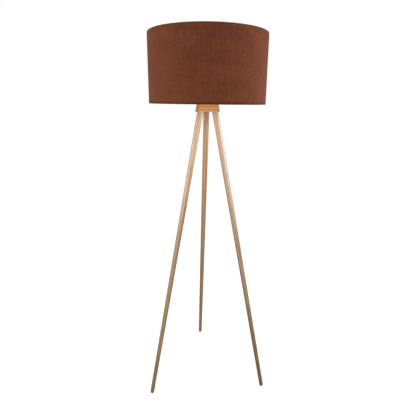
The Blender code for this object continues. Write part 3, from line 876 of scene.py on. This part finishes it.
def make_shade():
    circle = SHADE_RADIUS - HEM
    low, high = COVER_LOW.z + HEM, COVER_HIGH.z - HEM
    outside = arc((circle, low), HEM, -HEM_TURN, 0, HEM_POINTS)
    outside += [(SHADE_RADIUS, z) for z in np.linspace(low, high, CLOTH_ROWS)[1:-1]]
    outside += arc((circle, high), HEM, 0, HEM_TURN, HEM_POINTS)
    inside = arc((circle, high), HEM - CLOTH, HEM_TURN, 0, HEM_POINTS)
    inside += arc((circle, low), HEM - CLOTH, 0, -HEM_TURN, HEM_POINTS)
    along = run_lengths(outside, HEM_POINTS - 1)
    rows = []
    for (radius, z), v in zip(outside, along):
        on_hem = max(low - z, z - high, 0.0) / HEM
        fading = max(math.cos(on_hem * 2), 0.0)  # the wales run out over the hem
        rows.append((radius, z, v, 1.0 if radius > SHADE_RADIUS - SAME_PLACE else fading))
    rows += [(radius, z, v, 0.0) for (radius, z), v in zip(inside, along[::-1][: len(inside)])]
    cover = drum("corduroy_cover", rows, WALE_COUNT * COLUMNS_PER_WALE, "brown_corduroy", wales)
    stands_for(cover, "shade_cover")

    outer = SHADE_RADIUS - CLOTH - CLEAR
    liner_low, liner_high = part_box("shade_liner")
    corners = [(outer, liner_low.z), (outer, liner_high.z)]
    corners += [(outer - LINER_THICKNESS, liner_high.z), (outer - LINER_THICKNESS, liner_low.z)]
    rows = [(r, z, z - COVER_LOW.z, 0.0) for r, z in corners]
    stands_for(drum("styrene_liner", rows, SHADE_STEPS, "white_liner"), "shade_liner")

    for name, height in (("top", high), ("bottom", low)):
        section = arc((circle, height), RING_WIRE, 0, math.tau, 17)[:-1]
        ring = lathe(f"ring_wire_{name}", section, "white_wire", SHADE_STEPS, LAMP_AXIS)
        stands_for(ring, f"shade_ring_{name}")
    make_spokes(circle - HEM - CLEAR, low)


def make_spokes(hem_end, wire_height):
    """Three spokes from the lower ring wire up to the fitter ring, under which they are welded."""
    fitter_low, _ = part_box("shade_fitter_ring")
    weld = fitter_low.z - CLEAR - SPOKE_RADIUS
    run = [
        (hem_end, wire_height),
        (hem_end - 0.025, wire_height + 0.001),
        (0.045, weld - 0.002),
        (0.036, weld),
        (0.0255, weld),
    ]
    run = softened(run, SPOKE_BEND, bend=0.0, closed=False, steps=8)
    for number, joint in enumerate((LEG_JOINTS[n] for n in ("back", "left", "right")), 1):
        out = (Vector(joint["pos_m"]) - AXIS).to_2d().normalized().to_3d()
        path = [AXIS + out * r + Vector((0, 0, z)) for r, z in run]
        spoke = tube(f"bent_spoke_{number}", path, SPOKE_RADIUS, "white_wire", out.cross(Vector((0, 0, 1))))
        stands_for(spoke, f"shade_spoke_{number}")


def make_ring_nut():
    """The plastic nut that holds the shade down: a flange, and a ribbed collar round a plain bore that fits
    the holder's thread.
    """
    low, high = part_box("shade_ring_nut")
    outer = (high.x - low.x) / 2
    bore = THREADS["holder_skirt"][0] + CLEAR
    flange, ribs, rib = 0.0018, 30, 0.0006
    edge, lead_in, lead_out, shoulder = 0.0004, 0.0006, 0.0008, 0.0012
    collar = low.z + flange
    outline = [
        (outer - edge, low.z),
        (outer, low.z + edge),
        (outer, collar - edge),
        (outer - edge, collar),
        (outer - rib, collar + edge / 4),
        (outer - rib, high.z - shoulder),
        (outer - rib - shoulder, high.z),
        (bore + lead_out, high.z),
        (bore, high.z - lead_out),
        (bore, low.z + lead_in),
        (bore + lead_in, low.z),
    ]

    def ribbed(angles, radius, height):
        on_collar = height > collar and radius > outer - rib - ON_AXIS
        return radius - (rib * (0.5 + 0.5 * np.cos(ribs * angles)) ** 2 if on_collar else 0 * angles)

    nut = lathe("ribbed_ring_nut", outline, "black_plastic", ribs * 8, LAMP_AXIS, ribbed)
    stands_for(nut, "shade_ring_nut")


# ---------------------------------------------------------------- light and floor
def make_stage():
    """A white world, a pale floor that looks white to the camera, and six soft lights."""
    world = bpy.data.worlds.new("studio")
    bpy.context.scene.world = world
    world.use_nodes = True
    tree = world.node_tree
    background = tree.nodes["Background"]
    ray = tree.nodes.new("ShaderNodeLightPath")
    strength = tree.nodes.new("ShaderNodeMapRange")
    tree.links.new(ray.outputs["Is Camera Ray"], strength.inputs[0])
    strength.inputs[3].default_value = AMBIENT
    strength.inputs[4].default_value = 1.0
    tree.links.new(strength.outputs[0], background.inputs["Strength"])
    background.inputs["Color"].default_value = (1, 1, 1, 1)

    mesh = bpy.data.meshes.new("floor")
    half = FLOOR_SIDE / 2
    corners = [(-half, -half, 0), (half, -half, 0), (half, half, 0), (-half, half, 0)]
    mesh.from_pydata(corners, [], [(0, 1, 2, 3)])
    floor = bpy.data.objects.new("floor", mesh)
    bpy.context.scene.collection.objects.link(floor)
    floor.location.z = -FLOOR_GAP
    look = Look("pale_floor", Roughness=0.9)
    look.colour((0.15, 0.15, 0.15, 1))
    look.shader.inputs["Emission Color"].default_value = (1, 1, 1, 1)
    seen = look.add("LightPath", out="Is Camera Ray")
    look.put(look.shader.inputs["Emission Strength"], look.spread(seen, 0.0, 1.0))
    mesh.materials.append(look.material)

    softbox("key_left", (-1.05, -0.40, 1.3), 0.9, 6.5)
    softbox("key_right", (1.05, -0.40, 1.3), 0.9, 8.3)
    softbox("front", (0.0, -1.6, 1.14), 0.9, 4.6)
    softbox("low", (-0.7, -1.5, 0.5), 0.9, 1.6, 0.3)
    softbox("back", (0.0, 2.2, 1.45), 1.2, 15.0)
    softbox("top", (0.0, -0.3, 3.2), 1.2, 8.0)
    bpy.context.scene.view_settings.view_transform = "Standard"


def softbox(name, place, size, power, aim=LIGHT_AIM):
    """An area light beside the lamp's axis, turned to a point at that height on it."""
    light = bpy.data.lights.new(name, "AREA")
    light.size = size
    light.energy = power
    light.spread = LIGHT_SPREAD
    made = bpy.data.objects.new(name, light)
    bpy.context.scene.collection.objects.link(made)
    target = Vector((0, 0, aim))
    made.visible_camera = False
    made.location = AXIS + Vector(place)
    made.rotation_euler = (target - made.location).to_track_quat("-Z", "Y").to_euler()


make_camera()
finish_cad_nodes()
make_turned_pieces()
make_nuts()
make_block()
make_legs()
make_shade()
make_ring_nut()
make_stage()
